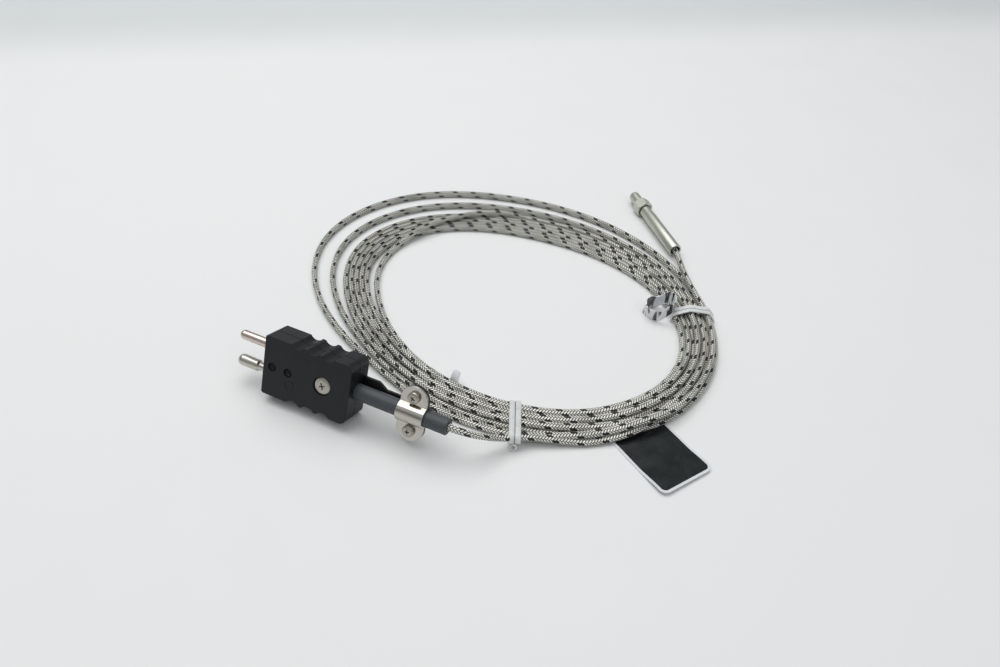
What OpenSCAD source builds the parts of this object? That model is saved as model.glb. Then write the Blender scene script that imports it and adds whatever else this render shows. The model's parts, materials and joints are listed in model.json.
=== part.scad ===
/* [Connector body] */
// Width of the connector body, across the two pins
body_w = 25.4; // [24:0.2:34]
// Length of the connector body, without its pins
body_l = 39; // [36:0.2:48]
// Thickness of the two closed halves
body_t = 12.8; // [12.4:0.2:17]
// Thickness of the outer walls
wall_t = 2.2; // [1.6:0.1:2.8]
// Thickness of the faces over the wiring space
face_t = 2.0; // [1.6:0.1:2.6]
// Gap at the seam between the two halves
seam_gap = 0.1; // [0.05:0.05:0.3]
// Angle that the connector leans back from upright
lean = 20; // [0:1:30]

/* [Finger grip] */
// Scallops on each narrow side
grip_count = 3; // [1:1:3]
// Spacing of the scallops
grip_pitch = 6.9; // [6:0.1:8.2]
// Distance of the first scallop from the pin end
grip_start = 14.8; // [12:0.2:16]
// Radius of a scallop
grip_r = 3.4; // [2.8:0.1:4.1]
// Depth of a scallop
grip_depth = 1.4; // [0.6:0.1:1.6]

/* [Contact pins] */
// Spacing of the pin centres
pin_spacing = 11.1; // [10.6:0.1:13.3]
// Diameter of the positive pin
pos_pin_d = 4.0; // [3.4:0.1:4.8]
// Diameter of the negative pin
neg_pin_d = 4.8; // [4:0.1:5.7]
// Length of a pin outside the body
pin_len = 16; // [12:0.2:18.4]
// Width of the flat tang that holds a terminal screw
tang_w = 5.6; // [5:0.1:6.7]
// Thickness of the tang
tang_t = 2.4; // [2:0.1:2.8]

/* [Screws] */
// Head diameter of the cover screw
cover_head_d = 7.2; // [6:0.1:8.6]
// Head diameter of the clamp screws
clamp_head_d = 4.8; // [4:0.1:5.6]
// Head diameter of the terminal screws
term_head_d = 4.6; // [4:0.1:5.2]
// Thread diameter of every screw
screw_d = 2.8; // [2.4:0.1:3.2]

/* [Sleeve and clamp] */
// Outer diameter of the rubber sleeve
sleeve_d = 6.6; // [5.6:0.1:7.6]
// Distance of the sleeve's free end from the pin end
sleeve_end = 78.5; // [76:0.5:92]
// Centre of the clamp, from the pin end
clamp_x = 63.4; // [60:0.2:68]
// Width of the saddle along the cable
saddle_w = 11.4; // [9.6:0.2:13.4]
// Height of the saddle across its two ears
saddle_h = 23.2; // [21:0.2:25]
// Spacing of the two clamp screws
clamp_pitch = 14.4; // [14.2:0.1:16.4]
// Thickness of the saddle plate
saddle_t = 0.9; // [0.6:0.1:1.2]
// Thickness of the strap behind the sleeve
strap_t = 1.2; // [0.9:0.1:1.5]
// Width of the strap where it leaves the body
strap_w = 10.6; // [9:0.2:12.4]

/* [Cable] */
// Width of the flat two-wire cable
cable_w = 3.6; // [3:0.1:4.2]
// Thickness of the flat two-wire cable
cable_t = 2.4; // [2:0.1:2.8]
// Height of the coil
coil_h = 7.4; // [6.2:0.1:8.8]
// Thickness of a wire tie
tie_t = 0.8; // [0.6:0.1:1]
// Width of a wire tie
tie_w = 4.4; // [3.6:0.1:5.2]

/* [Tag] */
// Width of the tag
tag_w = 25.4; // [21:0.2:30]
// Length of the tag
tag_l = 40; // [35:0.5:44]
// Thickness of the tag
tag_t = 0.4; // [0.3:0.05:0.5]

/* [Probe] */
// Outer diameter of the barrel
barrel_d = 6.35; // [5.4:0.05:6.4]
// Wall of the barrel
barrel_wall = 0.7; // [0.5:0.05:0.8]
// Length of the barrel outside the fitting
barrel_l = 37; // [31:0.5:44]
// Size of the hexagon across its flats
hex_af = 7.94; // [7.9:0.02:9.5]
// Length of the hexagon
hex_l = 6.4; // [5.4:0.1:7.6]
// Diameter of the threaded nose
nose_d = 5.6; // [4.8:0.1:6.3]
// Length of the threaded nose
nose_l = 10; // [8:0.2:12]

/* [Fits] */
// Radial gap of a pin or insert held in the body
hold_fit = 0.05; // [0.03:0.01:0.1]
// Radial running gap of a screw or the swivelling fitting
run_fit = 0.08; // [0.05:0.01:0.1]
// Gap between pieces that only lie side by side
side_gap = 0.3; // [0.2:0.05:0.4]

/* [Hidden] */
$fn = 48;
eps = 0.01;

// Connector frame: x from the pin end to the cable, y through the thickness with the cover
// at -y, z across the width. The mating face is x = 0 and the seam is y = 0.
mate_x = (pin_len - sleeve_end) / 2;
mate_y = (body_t * cos(lean) - body_w * sin(lean)) / 2;
front_wall = 5.2;
rear_wall = 5;
front_round = 1;
rear_round = 3;
pin_z = pin_spacing / 2;
neck_d = 3.4;
neck_l = 3;
room_z = body_w / 2 - wall_t - grip_depth;
room_y = body_t / 2 - face_t;
divider_t = 1.2;

// Cover screw, its boss and its brass insert
cover_screw_x = body_l * 0.69;
boss_d = 6.6;
insert_d = 4.6;
insert_l = 4;
cover_head_h = 1.5;
head_gap = 0.2;
dimple_d = 3.2;
dimple_x = [4.1, 11.4];

// Terminals: tang, wire, washer and screw head are stacked towards the cover
term_x = 11.5;
tang_end = 16;
wire_d = 0.8;
washer_t = 0.4;
washer_d = 5;
term_head_h = 1.2;
washer_y = -tang_t / 2 - wire_d;
term_side = screw_d / 2 + wire_d / 2 + 0.2;

// Clamp: two bridges round the sleeve, with their ears in the plane of the seam
arch_r = sleeve_d / 2 + run_fit;
strap_y = arch_r;
ear_gap = 0.02;
strap_neck_w = 6;
strap_step_x = 46;
strap_neck_x = 49.5;
strap_root_x = body_l - rear_wall - 2;
pan_h = 1.6;
cross_depth = 0.6;
sleeve_start = body_l - rear_wall - 1;
root_start = sleeve_start - 1;

// Coil: radii from its middle, one pair every 30 degrees from +X towards +Y
coil_mid = [66 + mate_x, 92 + mate_y];
inner_radii = [81.5, 70, 58, 53, 55, 63, 72, 62.5, 61, 62.5, 69, 78.5];
outer_radii = [94.5, 88, 83, 83.5, 88, 100, 105, 89, 75.5, 75.5, 83, 92.5];
coil_steps = 72;
tie_angles = [293, 20];
tie_gap = 0.9;
lead_room = 4.8;

// Free stretches of the cable, chosen by hand in the connector frame's plan (z up)
axis_z = body_w / 2 * cos(lean) + body_t / 2 * sin(lean);
axis_y = body_w / 2 * sin(lean) - body_t / 2 * cos(lean);
lead_points = [[0, 0, 0], [3, 0, 0], [6, 0.8, -0.7], [9, 2.6, -2.4], [12, 5.2, -4.5],
    [15, 8.3, -6.5], [18, 11.6, -8.2], [21.2, 14.8, -9.3], [25, 17.8, -10.1], [29.4, 20.6, -10.8]];
tail_points = [[117, 168.9, 3.97], [120.4, 165.1, 3.97], [123.6, 161.4, 3.97], [126.6, 157.8, 3.97],
    [129.8, 153.8, 4], [133, 149.6, 4.1],
    [136.4, 145, 4.3], [139.4, 140, 4.6], [142, 135, 4.8], [144, 131, 4.9]];

// Probe frame: x from the barrel's open end to the nose
probe_at = [121, 164.4, hex_af / 2];
probe_yaw = 131.6;
collar_d = barrel_d + 0.5;
collar_l = 1.2;
lip_l = 1.4;
socket_l = 4.6;
insulator_l = 12;
nose_wall = 1.1;
nose_bore_end = barrel_l + hex_l + nose_l - nose_d / 2 - nose_wall;
junction_x = nose_bore_end - 1.6;
tag_turn = 148;
tag_at = [166, 26.4];
band_at = [124.6, 115.6];
band_r = [7.4, 5.8];
band_t = 0.5;
band_h = 7;

function lerp(a, b, t) = a + (b - a) * t;

// Smooth closed curve through a ring of values
function ring_value(v, a) =
    let (n = len(v), s = a / 360 * n, i = floor(s), t = s - i,
        p0 = v[(i + n - 1) % n], p1 = v[i % n], p2 = v[(i + 1) % n], p3 = v[(i + 2) % n])
    p1 + 0.5 * t * (p2 - p0 + t * (2 * p0 - 5 * p1 + 4 * p2 - p3 + t * (3 * (p1 - p2) + p3 - p0)));

function coil_point(v, a, grow) =
    [for (k = [0, 1]) coil_mid[k] + (ring_value(v, a) + grow) * [cos(a), sin(a)][k]];

// Eight-sided tube along a list of points, its second size upright
function unit(v) = v / norm(v);
function heading(p, i) = unit(p[min(i + 1, len(p) - 1)] - p[max(i - 1, 0)]);
function tube_ring(c, d, t, w) =
    let (side = unit(cross([0, 0, 1], d)), up = unit(cross(d, side)))
    [for (k = [0:7]) c + side * t / 2 * cos(k * 45 + 22.5) + up * w / 2 * sin(k * 45 + 22.5)];

module swept_tube(p, t, w) {
    n = len(p);
    rings = [for (i = [0:n - 1]) each tube_ring(p[i], heading(p, i), t, w)];
    sides = [for (i = [0:n - 2], k = [0:7])
        [i * 8 + k, i * 8 + (k + 1) % 8, (i + 1) * 8 + (k + 1) % 8, (i + 1) * 8 + k]];
    caps = [[for (k = [7:-1:0]) k], [for (k = [0:7]) (n - 1) * 8 + k]];
    polyhedron(rings, concat(sides, caps), convexity = 8);
}

module at_connector() {
    translate([mate_x, mate_y, 0]) rotate([-lean, 0, 0]) translate([0, -body_t / 2, body_w / 2]) children();
}

module at_probe() {
    translate([probe_at[0] + mate_x, probe_at[1] + mate_y, probe_at[2]]) rotate([0, 0, probe_yaw]) children();
}

// Extrudes an x-z outline between two y values
module slab(y_from, y_to) {
    translate([0, y_to, 0]) rotate([90, 0, 0]) linear_extrude(y_to - y_from) children();
}

module rod_x(x_from, x_to, d) {
    translate([x_from, 0, 0]) rotate([0, 90, 0]) cylinder(d = d, h = x_to - x_from);
}

module rod_y(y_from, y_to, d) {
    translate([0, y_from, 0]) rotate([-90, 0, 0]) cylinder(d = d, h = y_to - y_from);
}

// Flat cable's cross-section, wide along the second axis
module cable_section(grow) {
    r = cable_t / 2 + grow;
    run = (cable_w - cable_t) / 2;
    for (s = [-1, 1]) translate([0, s * run]) circle(r);
    square([2 * r, 2 * run], center = true);
}

module flat_rod_x(x_from, x_to, grow) {
    translate([x_from, 0, 0]) rotate([90, 0, 90]) linear_extrude(x_to - x_from) cable_section(grow);
}

module body_outline() {
    difference() {
        union() {
            translate([front_round, -body_w / 2]) square([body_l - front_round - rear_round, body_w]);
            translate([0, front_round - body_w / 2]) square([body_l / 2, body_w - 2 * front_round]);
            translate([body_l / 2, rear_round - body_w / 2]) square([body_l / 2, body_w - 2 * rear_round]);
            for (s = [-1, 1]) {
                translate([front_round, s * (body_w / 2 - front_round)]) circle(front_round);
                translate([body_l - rear_round, s * (body_w / 2 - rear_round)]) circle(rear_round);
            }
        }
        for (s = [-1, 1], i = [0:grip_count - 1])
            translate([grip_start + i * grip_pitch, s * (body_w / 2 + grip_r - grip_depth)]) circle(grip_r);
    }
}

// Space for the terminals, the pins, the sleeve and the wires, cut from both halves
module wiring_space(depth) {
    slab(-depth, depth) translate([front_wall, -room_z])
        square([body_l - front_wall - rear_wall, 2 * room_z]);
    for (s = [-1, 1]) translate([0, 0, s * pin_z]) rod_x(-1, front_wall + 1, neck_d + 2 * hold_fit);
    rod_x(body_l - rear_wall - 1, body_l + 1, sleeve_d + 2 * hold_fit);
}

module screw_head_cross(d, depth) {
    for (a = [0, 90]) rotate([0, a, 0]) translate([-d * 0.3, -depth, -d * 0.07])
        cube([d * 0.6, 2 * depth, d * 0.14]);
}

// Pan-head screw along +y, with the underside of its head at y = 0
module pan_screw(head_d, head_h, reach) {
    difference() {
        union() {
            rod_y(-head_h, 0, head_d);
            rod_y(-eps, reach, screw_d);
        }
        translate([0, -head_h, 0]) screw_head_cross(head_d, cross_depth);
    }
}

module connector_base() {
    color("#24282a") at_connector() difference() {
        union() {
            difference() {
                slab(seam_gap / 2, body_t / 2) body_outline();
                wiring_space(room_y);
            }
            translate([cover_screw_x, 0, 0]) rod_y(seam_gap / 2, room_y + eps, boss_d);
            translate([front_wall - eps, seam_gap / 2, -divider_t / 2])
                cube([tang_end - front_wall + 1, room_y - seam_gap / 2 + eps, divider_t]);
        }
        translate([cover_screw_x, 0, 0]) rod_y(-1, insert_l + 0.6, insert_d + 2 * hold_fit);
        translate([strap_root_x - hold_fit, strap_y - hold_fit, -strap_w / 2 - hold_fit])
            cube([rear_wall + 4, strap_t + 2 * hold_fit, strap_w + 2 * hold_fit]);
    }
}

module connector_cover() {
    hole_d = screw_d + 2 * side_gap;
    color("#24282a") at_connector() difference() {
        union() {
            difference() {
                slab(-body_t / 2, -seam_gap / 2) body_outline();
                wiring_space(room_y);
            }
            translate([cover_screw_x, 0, 0]) rod_y(-room_y - eps, -seam_gap / 2, boss_d);
        }
        translate([cover_screw_x, 0, 0]) rod_y(-body_t, 1, hole_d);
        translate([cover_screw_x, 0, 0])
            rod_y(-body_t, cover_head_h + head_gap - body_t / 2, cover_head_d + 2 * head_gap);
        for (x = dimple_x) translate([x, -body_t / 2 - dimple_d * 0.12, 0]) sphere(d = dimple_d);
    }
}

module cover_screw() {
    color("silver") at_connector() translate([cover_screw_x, cover_head_h + head_gap - body_t / 2 - 0.05, 0])
        pan_screw(cover_head_d, cover_head_h, body_t / 2 - cover_head_h + insert_l - head_gap - 0.4);
}

module cover_insert() {
    color("goldenrod") at_connector() translate([cover_screw_x, 0, 0]) difference() {
        rod_y(seam_gap / 2, insert_l, insert_d);
        rod_y(-1, insert_l + 1, screw_d + 2 * run_fit);
    }
}

// Contact pin with a domed end, a thinner root in the body and a flat tang for its terminal screw
module contact_pin(z, d, shoulder_x) {
    translate([0, 0, z]) difference() {
        union() {
            translate([-pin_len + d / 2, 0, 0]) sphere(d = d);
            rod_x(-pin_len + d / 2, shoulder_x, d);
            rod_x(shoulder_x - eps, front_wall + 1, neck_d);
            translate([front_wall + hold_fit, -tang_t / 2, -tang_w / 2 + tang_shift(z)])
                cube([tang_end - front_wall, tang_t, tang_w - tang_trim]);
        }
        translate([term_x, 0, 0]) rod_y(-tang_t, tang_t, screw_d + 2 * run_fit);
    }
}

// The tangs are trimmed on the side that faces the divider
tang_trim = 0.4;
function tang_shift(z) = z > 0 ? tang_trim : 0;

module positive_pin() {
    color("#b9b2a8") at_connector() contact_pin(pin_z, pos_pin_d, -hold_fit);
}

module negative_pin() {
    color("#a8a49a") at_connector() contact_pin(-pin_z, neg_pin_d, -neck_l);
}

module terminal_screw(z) {
    color("silver") at_connector() translate([term_x, washer_y - washer_t - 0.05, z])
        pan_screw(term_head_d, term_head_h, tang_t + wire_d + washer_t + 1);
}

module positive_terminal_screw() {
    terminal_screw(pin_z);
}

module negative_terminal_screw() {
    terminal_screw(-pin_z);
}

module terminal_washers() {
    color("silver") at_connector() for (s = [-1, 1]) translate([term_x, 0, s * pin_z]) difference() {
        rod_y(washer_y - washer_t, washer_y, washer_d);
        rod_y(washer_y - 1, washer_y + 1, screw_d + 2 * run_fit);
    }
}

// Bared wire from the cable's end, round the boss and under its washer
module terminal_wire(s) {
    y = washer_y + wire_d / 2;
    side_z = pin_z - term_side;
    bend_z = boss_d / 2 + wire_d / 2;
    swept_tube([[root_start + 1, 0, s * 0.7], [root_start - 0.3, 0, s * 0.7],
        [root_start - 0.9, -0.4, s * 2.5], [cover_screw_x + 2.2, -0.9, s * (bend_z + 0.3)],
        [cover_screw_x, y, s * (bend_z + 0.7)],
        [cover_screw_x - 3, y, s * (bend_z + 0.4)], [tang_end + 1.4, y, s * side_z],
        [term_x - washer_d / 2 - 0.6, y, s * side_z]], wire_d, wire_d);
}

module positive_wire() {
    color("#c9c2b4") at_connector() terminal_wire(1);
}

module negative_wire() {
    color("#9c8f7c") at_connector() terminal_wire(-1);
}

module rubber_sleeve() {
    color("#4b5257") at_connector() difference() {
        rod_x(sleeve_start, sleeve_end, sleeve_d);
        flat_rod_x(sleeve_start - 1, sleeve_end + 1, hold_fit);
    }
}

// Cable held in the sleeve; its end is drilled for the two bared wires
module cable_root() {
    color("#b5b5ae") at_connector() difference() {
        flat_rod_x(root_start, sleeve_end, 0);
        for (s = [-1, 1]) translate([0, 0, s * 0.7])
            rod_x(root_start - 1, root_start + 1.6, wire_d + 2 * hold_fit);
    }
}

module ear_outline() {
    r = saddle_w / 2;
    for (s = [-1, 1]) translate([clamp_x, s * (saddle_h / 2 - r)]) circle(r);
    translate([clamp_x - r, r - saddle_h / 2]) square([saddle_w, saddle_h - saddle_w]);
}

// Bridge with two flat ears seen along the cable, as z across and y up, on the +y side
module bridge_profile(t) {
    difference() {
        union() {
            circle(arch_r + t);
            translate([-saddle_h / 2, 0]) square([saddle_h, t]);
        }
        circle(arch_r);
        translate([-body_w, -2 * body_w]) square(2 * body_w);
    }
}

module bridge(t) {
    intersection() {
        slab(-body_t, body_t) ear_outline();
        translate([clamp_x - saddle_w / 2, 0, 0]) rotate([90, 0, 90]) linear_extrude(saddle_w)
            rotate(90) mirror([0, 1]) bridge_profile(t);
    }
}

module clamp_screw_holes() {
    for (s = [-1, 1]) translate([clamp_x, 0, s * clamp_pitch / 2])
        rod_y(-body_t, body_t, screw_d + 2 * run_fit);
}

module clamp_strap() {
    color("#1c1f20") at_connector() difference() {
        union() {
            bridge(strap_t);
            slab(strap_y, strap_y + strap_t) {
                translate([strap_root_x, -strap_w / 2]) square([strap_step_x - strap_root_x, strap_w]);
                translate([strap_root_x, -strap_neck_w / 2]) square([clamp_x - strap_root_x, strap_neck_w]);
                polygon([[strap_step_x - eps, -strap_w / 2], [strap_neck_x, -strap_neck_w / 2],
                    [strap_neck_x, strap_neck_w / 2], [strap_step_x - eps, strap_w / 2]]);
            }
        }
        clamp_screw_holes();
    }
}

module clamp_saddle() {
    color("#b5aca0") at_connector() difference() {
        translate([0, -ear_gap, 0]) mirror([0, 1, 0]) bridge(saddle_t);
        clamp_screw_holes();
    }
}

module clamp_screw(s) {
    color("silver") at_connector() translate([clamp_x, -ear_gap - saddle_t - 0.05, s * clamp_pitch / 2])
        pan_screw(clamp_head_d, pan_h, saddle_t + strap_t + 0.6);
}

module upper_clamp_screw() {
    clamp_screw(1);
}

module lower_clamp_screw() {
    clamp_screw(-1);
}

module cable_lead() {
    start = [sleeve_end + mate_x, axis_y + mate_y, axis_z];
    color("#b5b5ae") swept_tube([for (p = lead_points) start + p], cable_t, cable_w);
}

// Space under the coil that a tie and the tag lie in
module under_coil() {
    for (a = tie_angles) at_tie(a) translate([-tie_w / 2 - side_gap, -30, -1])
        cube([tie_w + 2 * side_gap, 60, 1 + tie_t + 0.1]);
    translate([0, 0, -1]) linear_extrude(1 + tag_t + 0.1) tag_outline(side_gap);
}

// One closed ring of the coil's outer shape
module cable_coil() {
    grow = cable_t / 2 + 0.1;
    angles = [for (i = [0:coil_steps - 1]) i * 360 / coil_steps];
    color("#b5b5ae") difference() {
        linear_extrude(coil_h, convexity = 8) difference() {
            polygon([for (a = angles) coil_point(outer_radii, a, grow)]);
            polygon([for (a = angles) coil_point(inner_radii, a, -grow)]);
        }
        under_coil();
    }
}

module cable_tail() {
    color("#b5b5ae") swept_tube([for (p = tail_points) p + [mate_x, mate_y, 0]], cable_t, cable_w);
}

// Tie frame: x along the turns, y outwards, at the middle of the bundle
module at_tie(a) {
    r = (ring_value(inner_radii, a) + ring_value(outer_radii, a)) / 2;
    translate([coil_mid[0] + r * cos(a), coil_mid[1] + r * sin(a), 0]) rotate([0, 0, a - 90]) children();
}

module tie_band(a, outer_room) {
    half = (ring_value(outer_radii, a) - ring_value(inner_radii, a) + cable_t) / 2 + tie_gap;
    w = 2 * half + outer_room;
    at_tie(a) translate([-tie_w / 2, 0, 0]) rotate([90, 0, 90]) linear_extrude(tie_w) difference() {
        translate([-half - tie_t, 0]) square([w + 2 * tie_t, coil_h + 2 * tie_t + 0.2]);
        translate([-half, tie_t]) square([w, coil_h + 0.2]);
    }
}

// The lead joins the bundle inside the front tie
module front_tie() {
    color("white") tie_band(tie_angles[0], lead_room);
}

module rear_tie() {
    color("white") tie_band(tie_angles[1], 0);
}

// Printed band that curls away from the inner turns, its width upright
module label_band() {
    color("white") translate([band_at[0] + mate_x, band_at[1] + mate_y, 0]) rotate([0, 0, 20])
        linear_extrude(band_h) difference() {
            band_oval(0);
            band_oval(-band_t);
        }
}

module band_oval(grow) {
    n = 40;
    r = [band_r[0] + grow, band_r[1] + grow];
    polygon([for (i = [0:n - 1]) [r[0] * cos(i * 360 / n), r[1] * sin(i * 360 / n)]]);
}

module tag_outline(grow) {
    r = 3;
    translate([tag_at[0] + mate_x, tag_at[1] + mate_y]) rotate(tag_turn) {
        translate([-grow, r - tag_w / 2]) square([tag_l + 2 * grow, tag_w - 2 * r]);
        translate([r, -tag_w / 2 - grow]) square([tag_l - 2 * r, tag_w + 2 * grow]);
        for (x = [r, tag_l - r], s = [-1, 1]) translate([x, s * (tag_w / 2 - r)]) circle(r + grow);
    }
}

module tag() {
    color("#15191a") linear_extrude(tag_t) tag_outline(0);
}

// Hexagon and threaded nose in one piece, with a lip that holds the barrel's collar
module probe_fitting() {
    hex_x = barrel_l;
    color("#bdbab0") at_probe() difference() {
        union() {
            translate([hex_x, 0, 0]) rotate([0, 90, 0]) rotate(30)
                cylinder(d = hex_af / cos(30), h = hex_l, $fn = 6);
            rod_x(hex_x + hex_l - eps, hex_x + hex_l + nose_l - nose_d / 2, nose_d);
            translate([hex_x + hex_l + nose_l - nose_d / 2, 0, 0]) sphere(d = nose_d);
        }
        rod_x(hex_x - 1, hex_x + lip_l + eps, barrel_d + 2 * run_fit);
        rod_x(hex_x + lip_l, hex_x + socket_l, collar_d + 2 * run_fit);
        rod_x(hex_x + socket_l - eps, nose_bore_end, nose_d - 2 * nose_wall);
    }
}

module probe_barrel() {
    bore_d = barrel_d - 2 * barrel_wall;
    color("#c2bfb6") at_probe() difference() {
        union() {
            rod_x(0, barrel_l + lip_l + 0.2, barrel_d);
            rod_x(barrel_l + lip_l + 0.1, barrel_l + lip_l + 0.1 + collar_l, collar_d);
        }
        rod_x(-1, barrel_l + socket_l, bore_d);
    }
}

// Ceramic plug in the barrel with two holes for the wires
module probe_insulator() {
    x = barrel_l + lip_l + collar_l;
    color("#e8e2d4") at_probe() difference() {
        rod_x(x - insulator_l, x, barrel_d - 2 * barrel_wall - 2 * hold_fit);
        for (s = [-1, 1]) translate([0, 0, s * 0.9]) rod_x(x - insulator_l - 1, x + 1, wire_d + 2 * hold_fit);
    }
}

module probe_wires() {
    color("#c9c2b4") at_probe() for (s = [-1, 1]) translate([0, 0, s * 0.9])
        rod_x(6.1, junction_x + 0.5, wire_d);
}

module sensing_junction() {
    color("#8d8a80") at_probe() difference() {
        rod_x(junction_x, nose_bore_end - side_gap, nose_d - 2 * nose_wall - 2 * side_gap);
        for (s = [-1, 1]) translate([0, 0, s * 0.9])
            rod_x(junction_x - 1, junction_x + 0.55, wire_d + 2 * hold_fit);
    }
}

connector_base();
connector_cover();
cover_screw();
cover_insert();
positive_pin();
negative_pin();
positive_terminal_screw();
negative_terminal_screw();
terminal_washers();
positive_wire();
negative_wire();
rubber_sleeve();
cable_root();
clamp_strap();
clamp_saddle();
upper_clamp_screw();
lower_clamp_screw();
cable_lead();
cable_coil();
cable_tail();
front_tie();
rear_tie();
label_band();
tag();
probe_fitting();
probe_barrel();
probe_insulator();
probe_wires();
sensing_junction();
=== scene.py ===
import json
import math
import bmesh
import bpy
import numpy as np
from mathutils import Matrix, Vector, geometry


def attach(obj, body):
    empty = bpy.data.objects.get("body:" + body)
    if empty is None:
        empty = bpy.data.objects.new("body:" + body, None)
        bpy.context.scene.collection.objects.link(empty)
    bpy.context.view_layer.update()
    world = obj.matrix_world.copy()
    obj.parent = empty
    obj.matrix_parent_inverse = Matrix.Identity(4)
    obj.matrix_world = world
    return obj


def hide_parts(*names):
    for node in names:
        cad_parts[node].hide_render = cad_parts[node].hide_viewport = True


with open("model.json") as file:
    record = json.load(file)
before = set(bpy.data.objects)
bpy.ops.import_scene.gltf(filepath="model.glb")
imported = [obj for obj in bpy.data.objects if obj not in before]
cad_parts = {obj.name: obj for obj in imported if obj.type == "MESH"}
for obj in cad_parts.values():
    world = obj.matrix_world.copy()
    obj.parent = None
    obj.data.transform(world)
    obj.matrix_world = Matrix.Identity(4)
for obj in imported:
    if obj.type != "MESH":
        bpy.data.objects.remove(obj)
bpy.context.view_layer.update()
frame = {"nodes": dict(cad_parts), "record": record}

mm = 0.001
nodes = frame["nodes"]
rootBody = "plug_and_lead"

# the plug's place on the floor, in millimetres and degrees, and the plan's shift to the frame
plugPlace = {"lean": 20, "thickness": 12.8, "width": 25.4, "mateX": -31.25, "sleeveEnd": 78.5}
plugTurn = Matrix.Rotation(math.radians(-plugPlace["lean"]), 4, "X")
halfDepth = (plugPlace["thickness"] * math.cos(math.radians(plugPlace["lean"]))
             - plugPlace["width"] * math.sin(math.radians(plugPlace["lean"]))) / 2
plugFrame = (Matrix.Translation(Vector((plugPlace["mateX"], halfDepth, 0)) * mm) @ plugTurn
             @ Matrix.Translation(Vector((0, -plugPlace["thickness"] / 2, plugPlace["width"] / 2)) * mm))
planShift = Vector((plugPlace["mateX"], halfDepth, 0))

probePlace = {"mouth": (121, 164.4, 3.97), "yaw": 131.6}
probeFrame = (Matrix.Translation((Vector(probePlace["mouth"]) + planShift) * mm)
              @ Matrix.Rotation(math.radians(probePlace["yaw"]), 4, "Z"))


cameraSet = {"place": (138.75, -181.6, 243.8), "heading": (-0.376, 0.927), "down": 41.8, "roll": 4.2,
             "lens": 29.48}


def makeCamera(s):
    camera = bpy.data.objects.new("camera", bpy.data.cameras.new("camera"))
    bpy.context.scene.collection.objects.link(camera)
    level = Vector((s["heading"][0], s["heading"][1], 0)).normalized()
    down, roll = math.radians(s["down"]), math.radians(s["roll"])
    ahead = level * math.cos(down) - Vector((0, 0, 1)) * math.sin(down)
    right = ahead.cross(Vector((0, 0, 1))).normalized()
    up = right.cross(ahead)
    turnedRight = right * math.cos(roll) + up * math.sin(roll)
    turnedUp = up * math.cos(roll) - right * math.sin(roll)
    turn = Matrix((turnedRight, turnedUp, -ahead)).transposed().to_4x4()
    camera.matrix_world = Matrix.Translation(Vector(s["place"]) * mm) @ turn
    camera.data.lens = s["lens"]
    camera.data.sensor_width = 36
    camera.data.clip_start, camera.data.clip_end = 0.01, 20
    bpy.context.scene.camera = camera


makeCamera(cameraSet)
print("camera made")


class Signal:  # a socket whose arithmetic adds Math nodes
    def __init__(self, finish, socket):
        self.finish = finish
        self.socket = socket

    def math(self, operation, *terms):
        return self.finish.add("ShaderNodeMath", {"operation": operation}, dict(enumerate(terms)))

    def __add__(self, other):
        return self.math("ADD", self, other)

    def __radd__(self, other):
        return self.math("ADD", other, self)

    def __sub__(self, other):
        return self.math("SUBTRACT", self, other)

    def __rsub__(self, other):
        return self.math("SUBTRACT", other, self)

    def __mul__(self, other):
        return self.math("MULTIPLY", self, other)

    def __rmul__(self, other):
        return self.math("MULTIPLY", other, self)

    def __pow__(self, other):
        return self.math("POWER", self, other)

    def __mod__(self, other):
        return self.math("FLOORED_MODULO", self, other)

    def __gt__(self, other):
        return self.math("GREATER_THAN", self, other)

    def __lt__(self, other):
        return self.math("LESS_THAN", self, other)

    def floor(self):
        return self.math("FLOOR", self)

    def sine(self):
        return self.math("SINE", self)

    def size(self):
        return self.math("ABSOLUTE", self)

    def most(self, other):
        return self.math("MAXIMUM", self, other)

    def ramp(self, low, high, toLow=0.0, toHigh=1.0):
        settings = {"interpolation_type": "SMOOTHSTEP", "clamp": True}
        sockets = {"Value": self, "From Min": low, "From Max": high, "To Min": toLow, "To Max": toHigh}
        return self.finish.add("ShaderNodeMapRange", settings, sockets)


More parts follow.
